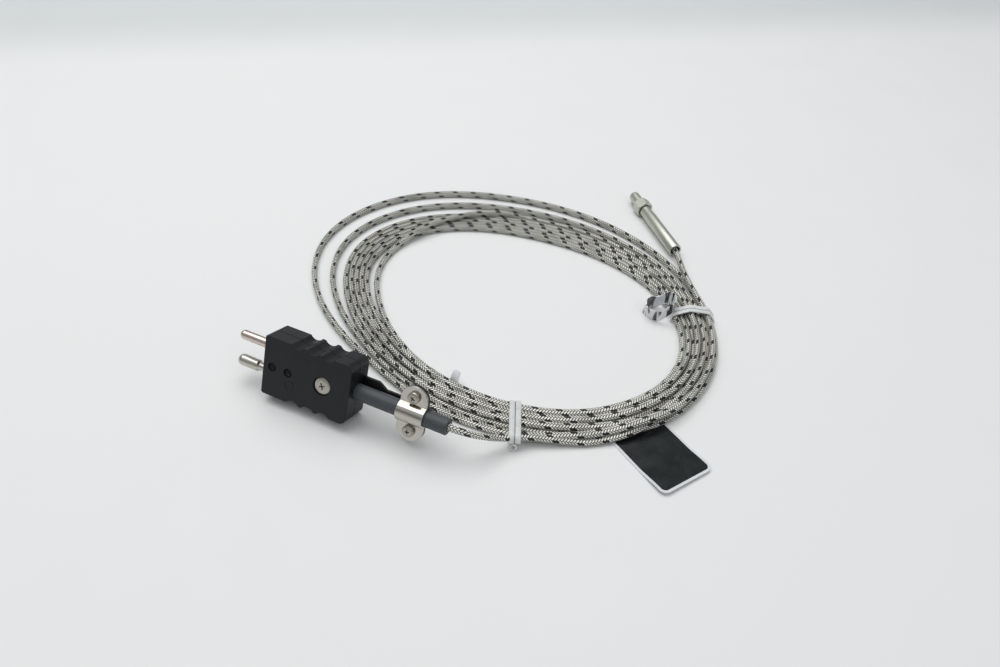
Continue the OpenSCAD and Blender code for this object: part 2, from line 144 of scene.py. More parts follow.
class Finish:  # one material and its nodes
    def __init__(self, name, color, roughness, metallic=0.0, **more):
        self.material = bpy.data.materials.new(name)
        self.material.use_nodes = True
        self.tree = self.material.node_tree
        self.surface = self.tree.nodes["Principled BSDF"]
        self.surface.inputs["Base Color"].default_value = (*color, 1)
        self.surface.inputs["Roughness"].default_value = roughness
        self.surface.inputs["Metallic"].default_value = metallic
        for key, value in more.items():
            self.surface.inputs[key.replace("_", " ")].default_value = value

    def feed(self, socket, term):
        if isinstance(term, Signal):
            self.tree.links.new(term.socket, socket)
        else:
            socket.default_value = term

    def add(self, kind, settings=None, sockets=None, output=0):
        node = self.tree.nodes.new(kind)
        for key, value in (settings or {}).items():
            setattr(node, key, value)
        for key, term in (sockets or {}).items():
            self.feed(node.inputs[key], term)
        return Signal(self, node.outputs[output])

    def place(self):  # object coordinates in metres
        return self.add("ShaderNodeTexCoord", output="Object")

    def axes(self, vector):
        node = self.add("ShaderNodeSeparateXYZ", None, {0: vector}).socket.node
        return [Signal(self, socket) for socket in node.outputs]

    def stretch(self, scale):
        return self.add("ShaderNodeMapping", None, {"Vector": self.place(), "Scale": scale})

    def noise(self, scale, detail=3.0, rough=0.5, vector=None):
        sockets = {"Vector": vector or self.place(), "Scale": scale, "Detail": detail, "Roughness": rough}
        return self.add("ShaderNodeTexNoise", None, sockets)

    def cells(self, scale, vector=None):
        return self.add("ShaderNodeTexVoronoi", None, {"Vector": vector or self.place(), "Scale": scale})

    def mix(self, factor, first, second):  # 6 and 7 are a Mix node's two colours, and 2 is its colour output
        sockets = {0: factor, 6: first if isinstance(first, Signal) else (*first, 1),
                   7: second if isinstance(second, Signal) else (*second, 1)}
        return self.add("ShaderNodeMix", {"data_type": "RGBA"}, sockets, 2)

    def set(self, name, term):
        self.feed(self.surface.inputs[name], term)

    def relief(self, height, distance, strength=1.0):  # distance in metres
        return self.add("ShaderNodeBump", None, {"Height": height, "Distance": distance, "Strength": strength})


mouldedSet = {"specular": 0.28, "cloudScale": 180, "cloudShare": 0.5, "dustScale": 900, "dustSize": 0.06,
              "dustShare": 0.35, "smoother": 0.06, "rougher": 0.08, "grainDepth": 0.00003}


def moulded(name, color, pale, roughness, grain, s=mouldedSet):  # satin moulded plastic
    f = Finish(name, color, roughness, Specular_IOR_Level=s["specular"])
    fine = f.noise(grain, 4, 0.6)
    broad = f.noise(s["cloudScale"], 3, 0.5)
    dust = f.cells(s["dustScale"]) < s["dustSize"]
    f.set("Base Color", f.mix(broad.ramp(0.35, 0.75) * s["cloudShare"] + dust * s["dustShare"], color, pale))
    f.set("Roughness", broad.ramp(0.3, 0.7, roughness - s["smoother"], roughness + s["rougher"]))
    f.set("Normal", f.relief(fine, s["grainDepth"], 0.5))
    return f.material


platedSet = {"stainScale": 260, "uneven": 0.1, "grainDepth": 0.000004}


def plated(name, color, dark, roughness, stretch, wear=0.3, s=platedSet):  # metal with a drawn grain
    f = Finish(name, color, roughness, 1.0)
    grain = f.noise(1, 4, 0.6, f.stretch(stretch))
    stain = f.noise(s["stainScale"], 4, 0.6)
    f.set("Base Color", f.mix(stain.ramp(0.45, 0.8) * wear, color, dark))
    f.set("Roughness", (grain * s["uneven"] + stain * s["uneven"]) + (roughness - s["uneven"]))
    f.set("Normal", f.relief(grain, s["grainDepth"], 0.35))
    return f.material


rubberSet = {"fineScale": 5200, "drawnScale": (160, 1500, 1500), "drawnShare": 0.45, "scuffScale": 700,
             "scuffShare": 0.3, "roughness": (0.42, 0.58), "grainDepth": 0.00004}


def rubbery(name, color, pale, s=rubberSet):  # drawn rubber with light scuffs
    f = Finish(name, color, 0.5, Specular_IOR_Level=0.45)
    fine = f.noise(s["fineScale"], 3, 0.6)
    drawn = f.noise(1, 3, 0.5, f.stretch(s["drawnScale"]))
    scuff = f.noise(s["scuffScale"], 5, 0.7)
    pattern = drawn.ramp(0.4, 0.75) * s["drawnShare"] + scuff.ramp(0.6, 0.8) * s["scuffShare"]
    f.set("Base Color", f.mix(pattern, color, pale))
    f.set("Roughness", drawn.ramp(0.3, 0.7, *s["roughness"]))
    f.set("Normal", f.relief(fine * 0.6 + drawn * 0.4, s["grainDepth"], 0.5))
    return f.material


# shade is the dark colour painted into the gaps between strands as painted shade
braidSet = {"pitch": 9.9, "carriers": 8, "steel": (0.96, 0.95, 0.87), "shade": (0.035, 0.031, 0.026),
            "tracer": (0.008, 0.008, 0.008), "tracers": 2, "roughness": 0.42, "metallic": 0.25, "wires": 5,
            "low": 0.36, "high": 0.66, "depth": 0.0003}


def braided(name, s):  # fine wires braided over two and under two, on the cable's own UV map, with painted shade in the gaps and dips between strands
    f = Finish(name, s["steel"], s["roughness"], s["metallic"])
    u, v, _ = f.axes(f.add("ShaderNodeUVMap", {"uv_map": "run"}))
    count = s["carriers"]
    rise = (u + v) * count
    fall = (u - v) * count
    riseCell = rise.floor()
    fallCell = fall.floor()
    riseIn = rise - riseCell
    fallIn = fall - fallCell
    order = (riseCell - fallCell) % 4
    riseTop = order < 1.5
    across = riseIn * riseTop + fallIn * (1 - riseTop)
    along = fallIn * riseTop + riseIn * (1 - riseTop)
    half = order % 2
    arch = ((along + half * (1 - 2 * riseTop) + riseTop) * (math.pi / 2)).sine().size()
    crown = (across * math.pi).sine().most(0) ** 0.7
    wires = (across * (math.pi * s["wires"])).sine().size()
    height = crown * (arch * 0.55 + 0.45) * (wires * 0.15 + 0.85)
    grime = f.noise(160, 3, 0.6).ramp(0.4, 0.75, 0.0, 0.35)
    # where the strands sink the steel is mixed towards the shade colour, which is painted shade between the floats;
    # grime adds random darker patches
    gapShadedSteel = f.mix(height.ramp(s["low"], s["high"]) * (1 - grime), s["shade"], s["steel"])
    dark = ((riseCell % count) < (s["tracers"] - 0.5)) * riseTop
    f.set("Base Color", f.mix(dark, gapShadedSteel, s["tracer"]))
    f.set("Metallic", s["metallic"] - dark * s["metallic"])
    f.set("Roughness", 0.52 - height * 0.2 + dark * 0.1)
    f.set("Normal", f.relief(height, s["depth"]))
    return f.material


vinylSet = {"coat": 0.3, "rippleScale": 420, "roughness": (0.22, 0.4), "rippleDepth": 0.0001}


def vinyl(name, color, dark, s=vinylSet):  # soft shiny plastic film
    f = Finish(name, color, 0.3, Coat_Weight=s["coat"], Coat_Roughness=0.12)
    ripple = f.noise(s["rippleScale"], 3, 0.6)
    f.set("Base Color", f.mix(ripple.ramp(0.35, 0.75), color, dark))
    f.set("Roughness", ripple.ramp(0.3, 0.7, *s["roughness"]))
    f.set("Normal", f.relief(ripple, s["rippleDepth"], 0.6))
    return f.material


finishes = {
    "plug_body": moulded("plugPlastic", (0.0075, 0.0097, 0.0112), (0.015, 0.0182, 0.0202), 0.4, 6500),
    "screw_steel": plated("screwNickel", (0.46, 0.43, 0.385), (0.26, 0.235, 0.2), 0.34, (900, 900, 900), wear=0.5),
    "insert_brass": plated("insertBrass", (0.6, 0.44, 0.2), (0.4, 0.27, 0.11), 0.3, (900, 900, 900)),
    "positive_alloy": plated("pinkNickel", (0.66, 0.56, 0.51), (0.4, 0.32, 0.28), 0.24, (200, 1800, 1800)),
    "negative_alloy": plated("paleNickel", (0.56, 0.54, 0.49), (0.33, 0.31, 0.26), 0.26, (200, 1800, 1800)),
    "sleeve_rubber": rubbery("sleeveRubber", (0.05, 0.058, 0.066), (0.082, 0.093, 0.103)),
    "strap_black": moulded("strapBlack", (0.008, 0.0082, 0.0085), (0.02, 0.021, 0.022), 0.36, 5200),
    "clamp_steel": plated("clampNickel", (0.54, 0.51, 0.465), (0.33, 0.3, 0.26), 0.15, (420, 2600, 900)),
    "cable_braid": braided("cableBraid", braidSet),
    "tie_vinyl": vinyl("tieVinyl", (0.72, 0.735, 0.72), (0.57, 0.59, 0.58)),
    "tag_card": moulded("tagCard", (0.008, 0.011, 0.011), (0.014, 0.018, 0.018), 0.2, 3000),
    "probe_steel": plated("probeSteel", (0.55, 0.55, 0.49), (0.38, 0.38, 0.33), 0.42, (1400, 1400, 1400)),
    "probe_ceramic": moulded("probeCeramic", (0.7, 0.66, 0.58), (0.8, 0.77, 0.7), 0.6, 4000),
}
slots = {part["node"]: part["material_slot"] for part in frame["record"]["subparts"]}
for node, slot in slots.items():
    mesh = nodes[node].data
    mesh.materials.clear()
    mesh.materials.append(finishes[slot])
print("finishes made")


def finishPiece(bm, name, finish, body, replaced=(), sharp=35, place=None):
    if place is not None:
        bmesh.ops.transform(bm, matrix=place, verts=bm.verts)
    for edge in bm.edges:
        edge.smooth = len(edge.link_faces) == 2 and edge.calc_face_angle(0) < math.radians(sharp)
    for face in bm.faces:
        face.smooth = True
    mesh = bpy.data.meshes.new(name)
    bm.to_mesh(mesh)
    bm.free()
    piece = bpy.data.objects.new(name, mesh)
    bpy.context.scene.collection.objects.link(piece)
    for material in (finish if isinstance(finish, list) else [finish]):
        mesh.materials.append(material)
    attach(piece, body)
    if replaced:
        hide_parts(*replaced)
    return piece


refineSet = {"merge": 2e-6, "flat": 1.5}  # metres, degrees


def refined(nodeName, pieceName, body, slot, bevel, segments=2, sharp=28, spare=()):  # softened copy of a CAD node
    bm = bmesh.new()
    bm.from_mesh(nodes[nodeName].data)
    bmesh.ops.remove_doubles(bm, verts=bm.verts, dist=refineSet["merge"])
    bmesh.ops.dissolve_limit(bm, angle_limit=math.radians(refineSet["flat"]), verts=bm.verts,
                             edges=bm.edges, use_dissolve_boundaries=False)
    rims = [e for e in bm.edges if len(e.link_faces) == 2 and e.calc_face_angle(0) > math.radians(sharp)]
    back = plugFrame.inverted()
    for x, z, radius in spare:  # small hollows keep their own rims
        centre = Vector((x, z)) * mm
        rims = [e for e in rims if ((back @ ((e.verts[0].co + e.verts[1].co) / 2)).xz - centre).length > radius * mm]
    bmesh.ops.bevel(bm, geom=rims, offset=bevel * mm, offset_type="OFFSET", affect="EDGES", segments=segments,
                    profile=0.5, material=-1, clamp_overlap=True)
    piece = finishPiece(bm, pieceName, finishes[slot], body, (nodeName,))
    normals = piece.modifiers.new("evenShade", "WEIGHTED_NORMAL")
    normals.keep_sharp = True
    return piece


def revolved(profile, steps=64):  # spins (x, radius) points about X, in millimetres
    bm = bmesh.new()
    points = [bm.verts.new(Vector((x, 0, r)) * mm) for x, r in profile]
    edges = [bm.edges.new(pair) for pair in zip(points, points[1:])]
    bmesh.ops.spin(bm, geom=points + edges, cent=(0, 0, 0), axis=(1, 0, 0), angle=2 * math.pi, steps=steps,
                   use_merge=True)
    bmesh.ops.remove_doubles(bm, verts=bm.verts, dist=1e-7)
    bmesh.ops.recalc_face_normals(bm, faces=bm.faces)
    return bm


def swept(name, points, profile, tilts=None, closed=False, twist="Z_UP"):  # mesh of a profile drawn along a line
    def lineOf(label, places, cyclic):
        curve = bpy.data.curves.new(label, "CURVE")
        curve.dimensions = "3D"
        spline = curve.splines.new("POLY")
        spline.points.add(len(places) - 1)
        for point, place in zip(spline.points, places):
            point.co = (*place, 1)
        spline.use_cyclic_u = cyclic
        thing = bpy.data.objects.new(label, curve)
        bpy.context.scene.collection.objects.link(thing)
        return thing, curve, spline
    shape, _, _ = lineOf(name + "Shape", [(x, y, 0) for x, y in profile], True)
    line, curve, spline = lineOf(name + "Line", points, closed)
    for k, tilt in enumerate(tilts or []):
        spline.points[k].tilt = tilt
    curve.twist_mode = twist
    curve.bevel_mode = "OBJECT"
    curve.bevel_object = shape
    curve.use_fill_caps = not closed
    bpy.context.view_layer.update()
    mesh = bpy.data.meshes.new_from_object(line.evaluated_get(bpy.context.evaluated_depsgraph_get()))
    bpy.data.objects.remove(line)
    bpy.data.objects.remove(shape)
    mesh.materials.clear()
    return mesh


def ringUv(mesh, count, lengths):  # u runs along the line in turns of the braid, v once round it
    layer = mesh.uv_layers.new(name="run")
    owner = np.empty(len(mesh.loops), int)
    mesh.loops.foreach_get("vertex_index", owner)
    ring, step = owner // count, owner % count
    uv = np.stack([lengths[np.minimum(ring, len(lengths) - 1)], step / count], 1)
    for polygon in mesh.polygons:
        loops = list(polygon.loop_indices)
        if len(loops) == 4 and step[loops].max() - step[loops].min() > count / 2:
            for k in loops:
                if step[k] == 0:
                    uv[k, 1] = 1.0
    layer.data.foreach_set("uv", uv.astype(np.float32).ravel())


cableSet = {"width": 3.6, "thickness": 2.4, "middle": (66, 92), "turns": 8, "ringStep": 1.7, "sides": 16,
            "innerRadii": [81.5, 70, 58, 53, 55, 63, 72, 62.5, 61, 62.5, 69, 78.5],
            "outerRadii": [93.5, 85.6, 80.8, 81, 87, 102.5, 107.5, 89, 75.5, 75.5, 83, 92],
            "slices": 96, "startAngle": -60, "endAngle": 24, "rounds": 260, "lastRounds": 40, "pull": 0.03,
            "sink": 0.05, "ease": 0.3, "spacing": 1.03, "clear": 0.02, "flatAt": -62, "flatHalf": 25, "flatFade": 50,
            "crossAt": 141, "crossHalf": 45, "crossRise": 4.5, "upperLayer": 0.95, "joinAt": 3, "softening": 6,
            "corner": 0.85, "twistTo": 24, "twistPower": 1.2}
leadPoints = [(0, 0, 0), (3, 0, 0), (6, 0.8, -0.7), (9, 2.6, -2.4), (12, 5.2, -4.5),
              (15, 8.3, -6.5), (18, 11.6, -8.2), (21.2, 14.8, -9.3), (25, 17.8, -10.1), (29.4, 20.6, -10.8)]
tailPoints = [(143.6, 126, 5), (141.5, 130.4, 4.8), (138.3, 135.2, 4.5), (135.1, 140, 4.2), (132, 145, 4.05),
              (129, 149.9, 3.97), (126.4, 154.8, 3.97), (123.9, 159.6, 3.97), (121.2, 164, 3.97), (117, 168.9, 3.97)]
# lane of each turn at four stations of the coil: share of the way out, and layer
laneAngles = [-67, 5, 95, 187]
lanes = [
    [(1.0, 0), (0.625, 1), (0.46, 0), (0.0, 0)],
    [(0.0, 0), (0.0, 0), (0.0, 0), (0.18, 0)],
    [(0.125, 1), (0.125, 1), (0.06, 1), (0.255, 0)],
    [(0.25, 0), (0.25, 0), (0.14, 0), (0.33, 0)],
    [(0.375, 1), (0.375, 1), (0.2, 1), (0.405, 0)],
    [(0.5, 0), (0.5, 0), (0.28, 0), (0.48, 0)],
    [(0.625, 1), (0.75, 0), (0.66, 0), (0.7, 0)],
    [(0.75, 0), (1.0, 0), (1.0, 0), (1.0, 0)],
    [(0.875, 1), (0.875, 1), (1.2, 1), (1.2, 0)],
]


def ringValue(values, angle):  # smooth closed curve through a ring of values
    n = len(values)
    s = (angle % 360) / 360 * n
    i = int(math.floor(s)) % n
    t = s - math.floor(s)
    a, b, c, d = (values[(i + k) % n] for k in (-1, 0, 1, 2))
    return b + 0.5 * t * (c - a + t * (2 * a - 5 * b + 4 * c - d + t * (3 * (b - c) + d - a)))


def flatness(angle, s=cableSet):  # 1 where the cable lies flat, 0 where it stands on its narrow side
    away = abs((angle - s["flatAt"] + 180) % 360 - 180)
    return 0.5 + 0.5 * math.cos(math.pi * min(1, max(0, (away - s["flatHalf"]) / s["flatFade"])))


def blended(angle, k):  # lane share or layer at a running angle
    knots = [(a + 360 * turn, lane[k]) for turn, row in enumerate(lanes) for a, lane in zip(laneAngles, row)]
    for (a0, v0), (a1, v1) in zip(knots, knots[1:]):
        if angle <= a1:
            t = min(1, max(0, (angle - a0) / (a1 - a0)))
            return v0 + (v1 - v0) * t * t * (3 - 2 * t)
    return knots[-1][1]


def settledCoil(s):  # strands pushed apart and settled on the floor, slice by slice
    step = 360 / s["slices"]
    angles = np.arange(s["startAngle"], 360 * s["turns"] + s["endAngle"] + step / 2, step)
    inner = np.array([ringValue(s["innerRadii"], a) for a in angles])
    outer = np.array([ringValue(s["outerRadii"], a) for a in angles])
    target = inner + np.array([blended(a, 0) for a in angles]) * (outer - inner)
    flat = np.array([flatness(a) for a in angles])
    lateral = s["thickness"] + (s["width"] - s["thickness"]) * flat
    upright = s["width"] + (s["thickness"] - s["width"]) * flat
    layer = np.array([blended(a, 1) for a in angles])
    radius, height = target.copy(), upright * (0.5 + s["upperLayer"] * layer)
    crossing = np.abs(angles - s["crossAt"]) < s["crossHalf"]  # the first turn climbs over the others here
    height[crossing] += s["crossRise"] * np.cos((angles[crossing] - s["crossAt"]) / (2 * s["crossHalf"]) * math.pi)
    n = s["slices"]
    for turn in range(s["rounds"]):
        gain = 1.0 if turn < s["rounds"] - s["lastRounds"] else 0.5
        radius += s["pull"] * (target - radius) * gain
        height -= s["sink"] * gain
        for gap in range(1, s["turns"] + 2):
            k = np.arange(len(angles) - gap * n)
            if not len(k):
                break
            m = k + gap * n
            dr, dh = radius[m] - radius[k], height[m] - height[k]
            a, b = lateral[k] * s["spacing"], upright[k]
            far = np.sqrt((dr / a) ** 2 + (dh / b) ** 2) + 1e-6
            push = np.clip(1 - far, 0, None) * 0.5
            pr, ph = push * dr / far, push * dh / far
            radius[k] -= pr
            radius[m] += pr
            height[k] -= ph
            height[m] += ph
        for values in (radius, height):
            values[1:-1] += s["ease"] * ((values[:-2] + values[2:]) / 2 - values[1:-1])
        height = np.maximum(height, upright / 2 + s["clear"])
    turns = np.radians(angles)
    return np.stack([s["middle"][0] + radius * np.cos(turns), s["middle"][1] + radius * np.sin(turns), height], 1)


def evenly(points, step):  # points on a smooth line through the given ones, equally far apart
    p = np.asarray(points, float)
    padded = np.vstack([2 * p[0] - p[1], p, 2 * p[-1] - p[-2]])
    fine = []
    for i in range(1, len(padded) - 2):
        a, b, c, d = padded[i - 1:i + 3]
        for t in np.linspace(0, 1, 12, endpoint=False):
            fine.append(b + 0.5 * t * (c - a + t * (2 * a - 5 * b + 4 * c - d + t * (3 * (b - c) + d - a))))
    fine = np.array(fine + [p[-1]])
    along = np.concatenate([[0], np.cumsum(np.linalg.norm(np.diff(fine, axis=0), axis=1))])
    count = int(round(along[-1] / step))
    spots = np.linspace(0, along[-1], count + 1)
    return np.stack([np.interp(spots, along, fine[:, k]) for k in range(3)], 1), spots


def smoothed(points, rounds):
    p = points.copy()
    for _ in range(rounds):
        p[1:-1] += 0.5 * ((p[:-2] + p[2:]) / 2 - p[1:-1])
    return p


planOffset = np.array([planShift.x, planShift.y, 0])
sleeveEnd = np.array(plugFrame @ (Vector((plugPlace["sleeveEnd"], 0, 0)) * mm)) / mm
lead = np.array(leadPoints) + sleeveEnd
coil = settledCoil(cableSet) + planOffset
tail = np.array(tailPoints) + planOffset
route = np.vstack([lead[:-1], coil[cableSet["joinAt"]:-1], tail[1:]])  # the lead takes the place of the first samples
route, routeSpots = evenly(route, cableSet["ringStep"])
route = smoothed(route, cableSet["softening"])
route, routeSpots = evenly(route, cableSet["ringStep"])


def ovalProfile(s):  # a flat two-wire cable's section, wide along Y
    shape = []
    for k in range(s["sides"]):
        a = 2 * math.pi * (k + 0.5) / s["sides"]
        c, d = math.cos(a), math.sin(a)
        shape.append((s["thickness"] / 2 * mm * math.copysign(abs(c) ** s["corner"], c), s["width"] / 2 * mm * d))
    return shape


def routeTilts(s):  # the lead starts upright in the sleeve and turns flat on its way down
    middle = np.array(s["middle"]) + planOffset[:2]
    tilts = []
    for x, y, z in route:
        angle = math.degrees(math.atan2(y - middle[1], x - middle[0]))
        tilts.append(flatness(angle) * math.pi / 2)
    first = min(range(len(route)), key=lambda k: abs(routeSpots[k] - s["twistTo"]))
    for k in range(first):
        tilts[k] = tilts[first] * (k / first) ** s["twistPower"]
    return tilts


def carved(bm, cutter, operation="DIFFERENCE"):  # cuts one mesh with another
    pair = []
    for label, source in (("kept", bm), ("cutter", cutter)):
        mesh = bpy.data.meshes.new(label)
        source.to_mesh(mesh)
        source.free()
        thing = bpy.data.objects.new(label, mesh)
        bpy.context.scene.collection.objects.link(thing)
        pair.append(thing)
    tool = pair[0].modifiers.new("cut", "BOOLEAN")
    tool.operation = operation
    tool.solver = "EXACT"
    tool.use_self = True
    tool.object = pair[1]
    bpy.context.view_layer.update()
    result = bmesh.new()
    result.from_mesh(pair[0].evaluated_get(bpy.context.evaluated_depsgraph_get()).data)
    for thing in pair:
        bpy.data.objects.remove(thing)
    bmesh.ops.remove_doubles(result, verts=result.verts, dist=1e-6)
    return result


def ringProfile(radius, thickness, sides=16):  # a round ring's section, for revolved()
    turns = [2 * math.pi * k / sides for k in range(sides + 1)]
    return [(thickness * math.cos(a), radius + thickness * math.sin(a)) for a in turns]


# the probe comes before the cable
barrelSet = {"radius": 3.175, "neck": 3.06, "bore": 2.475, "length": 37, "neckFrom": 30.6, "inside": 1.15,
             "softEdge": 0.14}
fittingSet = {"flats": 7.94, "length": 6.4, "nose": 2.8, "noseLength": 10, "chamfer": 0.35, "room": 3.33,
              "roomLength": 1.3, "groove": 2.5, "grooveFrom": 0.5, "grooveTo": 1.2}


def makeBarrel(s):
    end = s["length"] + s["inside"]
    r = s["radius"]
    profile = [(end, s["bore"]), (0.12, s["bore"]), (0, s["bore"] + 0.12), (0, r - s["softEdge"]), (0.05, r - 0.04),
               (0.16, r), (s["neckFrom"], r), (s["neckFrom"] + 0.9, s["neck"]), (end, s["neck"]), (end, s["bore"])]
    return finishPiece(revolved(profile, 72), "probeBarrel", finishes["probe_steel"], rootBody, ("probe_barrel",),
                       40, probeFrame)


def makeFitting(s, start):
    corner = s["flats"] / 2 / math.cos(math.radians(30))
    hexagon = bmesh.new()
    turn = Matrix.Rotation(math.radians(90), 4, "Y") @ Matrix.Rotation(math.radians(30), 4, "Z")
    place = Matrix.Translation(Vector((start + s["length"] / 2, 0, 0)) * mm) @ turn
    bmesh.ops.create_cone(hexagon, cap_ends=True, segments=6, radius1=corner * mm, radius2=corner * mm,
                          depth=s["length"] * mm, matrix=place)
    low, high, cut = s["flats"] / 2 - 0.05, corner + 0.3, s["chamfer"] + 0.15
    shell = [(start - 0.01, 0), (start - 0.01, low), (start + cut, high), (start + s["length"] - cut, high),
             (start + s["length"] + 0.01, low), (start + s["length"] + 0.01, 0)]
    body = carved(hexagon, revolved(shell, 72), "INTERSECT")
    hole = [(start - 1, 0), (start - 1, s["room"] + 0.3), (start, s["room"] + 0.12), (start + 0.15, s["room"]),
            (start + s["roomLength"], s["room"]), (start + s["roomLength"], 0)]
    body = carved(body, revolved(hole, 72))
    nose = start + s["length"]
    tip = nose + s["noseLength"] - s["nose"]
    r = s["nose"]
    profile = [(nose - 0.5, 0), (nose - 0.5, r), (nose + s["grooveFrom"] - 0.15, r),
               (nose + s["grooveFrom"], s["groove"]), (nose + s["grooveTo"], s["groove"]),
               (nose + s["grooveTo"] + 0.2, r), (tip, r)]
    profile += [(tip + r * math.sin(a), r * math.cos(a)) for a in np.radians(np.arange(9, 90, 9))]
    profile.append((tip + r, 0))
    merged = carved(body, revolved(profile, 64), "UNION")
    return finishPiece(merged, "probeFitting", finishes["probe_steel"], "fitting", ("probe_fitting",),
                       24, probeFrame)


probeBarrel = makeBarrel(barrelSet)
probeFitting = makeFitting(fittingSet, barrelSet["length"])
print("probe made")

cableMesh = swept("cableRun", [tuple(p * mm) for p in route],
                  ovalProfile(cableSet), routeTilts(cableSet))
ringUv(cableMesh, cableSet["sides"], routeSpots / braidSet["pitch"])
for polygon in cableMesh.polygons:
    polygon.use_smooth = True
cableRun = bpy.data.objects.new("cableRun", cableMesh)
bpy.context.scene.collection.objects.link(cableRun)
cableMesh.materials.append(finishes["cable_braid"])
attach(cableRun, rootBody)
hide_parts("cable_lead", "cable_coil", "cable_tail")

dimpleSet = {"places": [(4.1, 0), (11.4, 0)], "radius": 1.85, "deep": 1.7, "rim": 2.3}


def makeCover(s):
    cover = refined("connector_cover", "plugCover", "cover", "plug_body", 0.4, 3,
                    spare=[(x, z, s["rim"]) for x, z in s["places"]])
    bm = bmesh.new()
    bm.from_mesh(cover.data)
    for x, z in s["places"]:
        hollow = bmesh.new()
        bmesh.ops.create_uvsphere(hollow, u_segments=40, v_segments=20, radius=1)
        bmesh.ops.scale(hollow, vec=Vector((s["radius"], s["deep"], s["radius"])) * mm, verts=hollow.verts)
        place = plugFrame @ Matrix.Translation(Vector((x, -plugPlace["thickness"] / 2, z)) * mm)
        bmesh.ops.transform(hollow, matrix=place, verts=hollow.verts)
        bm = carved(bm, hollow)
    bm.to_mesh(cover.data)
    bm.free()


makeCover(dimpleSet)
refined("connector_base", "plugBase", rootBody, "plug_body", 0.4, 3)
refined("positive_pin", "positivePin", rootBody, "positive_alloy", 0.2)
neckSet = {"from": -6.4, "to": -2.9, "radius": 1.7, "outside": 3, "height": -5.55}


def makeNegativePin(s):  # the thick pin narrows where it leaves the body
    pin = refined("negative_pin", "negativePin", rootBody, "negative_alloy", 0.25)
    bm = bmesh.new()
    bm.from_mesh(pin.data)
    start, r = s["from"], s["radius"]
    ring = [(start, s["outside"]), (start, 2.45), (start + 0.2, 2.32), (start + 0.55, 2.02), (start + 0.8, r + 0.1),
            (start + 1.1, r), (s["to"], r), (s["to"], s["outside"]), (start, s["outside"])]
    cutter = revolved(ring, 64)
    bmesh.ops.transform(cutter, matrix=plugFrame @ Matrix.Translation(Vector((0, 0, s["height"])) * mm),
                        verts=cutter.verts)
    bm = carved(bm, cutter)
    bm.to_mesh(pin.data)
    bm.free()


makeNegativePin(neckSet)
refined("rubber_sleeve", "sleeveTube", rootBody, "sleeve_rubber", 0.3, 3)
refined("clamp_strap", "clampStrap", rootBody, "strap_black", 0.2)
refined("clamp_saddle", "clampSaddle", "saddle", "clamp_steel", 0.22, 3)

markSet = {"place": (12.6, -6.4, -5.2), "radius": 1.9, "tube": 0.16}
outwards = Matrix.Rotation(math.radians(-90), 4, "Z")


def onPlug(x, y, z, roll=0):  # places a piece made along X so that it points out of the cover
    return plugFrame @ Matrix.Translation(Vector((x, y, z)) * mm) @ outwards @ Matrix.Rotation(
        math.radians(roll), 4, "X")


finishPiece(revolved(ringProfile(markSet["radius"], markSet["tube"], 10), 48), "coverMark", finishes["plug_body"],
            "cover", (), 50, onPlug(*markSet["place"]))

clampHead = {"radius": 2.4, "height": 1.6, "rim": 0.8, "cross": 1.35, "deep": 0.9, "wide": 0.6, "reach": 2.7,
             "shank": 1.4}
screwSet = {
    "coverScrew": {"node": "cover_screw", "body": "cover_screw", "at": (26.91, -4.75, 0), "roll": 20, "radius": 3.6,
                   "height": 1.5, "rim": 0.75, "cross": 1.95, "deep": 0.95, "wide": 0.78, "reach": 8.25,
                   "shank": 1.4},
    "upperClampScrew": {"node": "upper_clamp_screw", "body": "upper_screw", "at": (63.4, -0.97, 7.2), "roll": 62,
                        **clampHead},
    "lowerClampScrew": {"node": "lower_clamp_screw", "body": "lower_screw", "at": (63.4, -0.97, -7.2), "roll": 12,
                        **clampHead},
}


def crossCutter(s):  # two crossed blades, narrower at the bottom
    bm = bmesh.new()
    for turn in (0, 90):
        made = bmesh.ops.create_cube(bm, size=1)["verts"]
        bmesh.ops.scale(bm, vec=Vector((2 * s["deep"], s["wide"], 2 * s["cross"])) * mm, verts=made)
        bottom = [v for v in made if v.co.x < 0]
        bmesh.ops.scale(bm, vec=(1, 0.6, 0.45), verts=bottom)
        place = Matrix.Translation(Vector((s["height"], 0, 0)) * mm) @ Matrix.Rotation(math.radians(turn), 4, "X")
        bmesh.ops.transform(bm, matrix=place, verts=made)
    return bm


def makeScrew(name, s):
    r, h, rim, shank = s["radius"], s["height"], s["rim"], s["shank"]
    profile = [(-s["reach"], 0), (-s["reach"], shank - 0.3), (-s["reach"] + 0.3, shank), (0, shank), (0, r - 0.1),
               (0.1, r), (rim, r)]
    for a in np.radians(np.arange(15, 90, 15)):  # rounded rim, then a shallow dome
        profile.append((rim + (h - rim) * math.sin(a) ** 0.7, r - r * 0.55 * (1 - math.cos(a))))
    profile.append((h, 0))
    head = carved(revolved(profile, 64), crossCutter(s))
    finishPiece(head, name, finishes["screw_steel"], s["body"], (s["node"],), 28,
                onPlug(*s["at"], s["roll"]))


for screwName, screwFacts in screwSet.items():
    makeScrew(screwName, screwFacts)
print("plug, clamp and screws made")

tieSet = {"front": {"node": "front_tie", "angle": 293}, "rear": {"node": "rear_tie", "angle": 20},
          "width": 4.8, "thickness": 1.1, "groove": 0.2, "clear": 0.15, "grooveShade": 0.26,
          "sides": 48, "steps": 96, "rounding": 3, "floorGap": 0.05}
coilMiddle = Vector((cableSet["middle"][0] + planShift.x, cableSet["middle"][1] + planShift.y, 0))


def passesAt(angle):  # where the cable crosses a tie's plane, as distance from the middle and height
    turn = math.radians(angle)
    away = route[:, :2] - np.array(coilMiddle.xy)
    reach = away @ np.array([math.cos(turn), math.sin(turn)])
    side = away @ np.array([-math.sin(turn), math.cos(turn)])
    found = []
    for k in np.nonzero(side[:-1] * side[1:] <= 0)[0]:
        if reach[k] > 0:
            t = side[k] / (side[k] - side[k + 1])
            height = route[k][2] + t * (route[k + 1][2] - route[k][2])
            found.append((reach[k] + t * (reach[k + 1] - reach[k]), height))
    return found


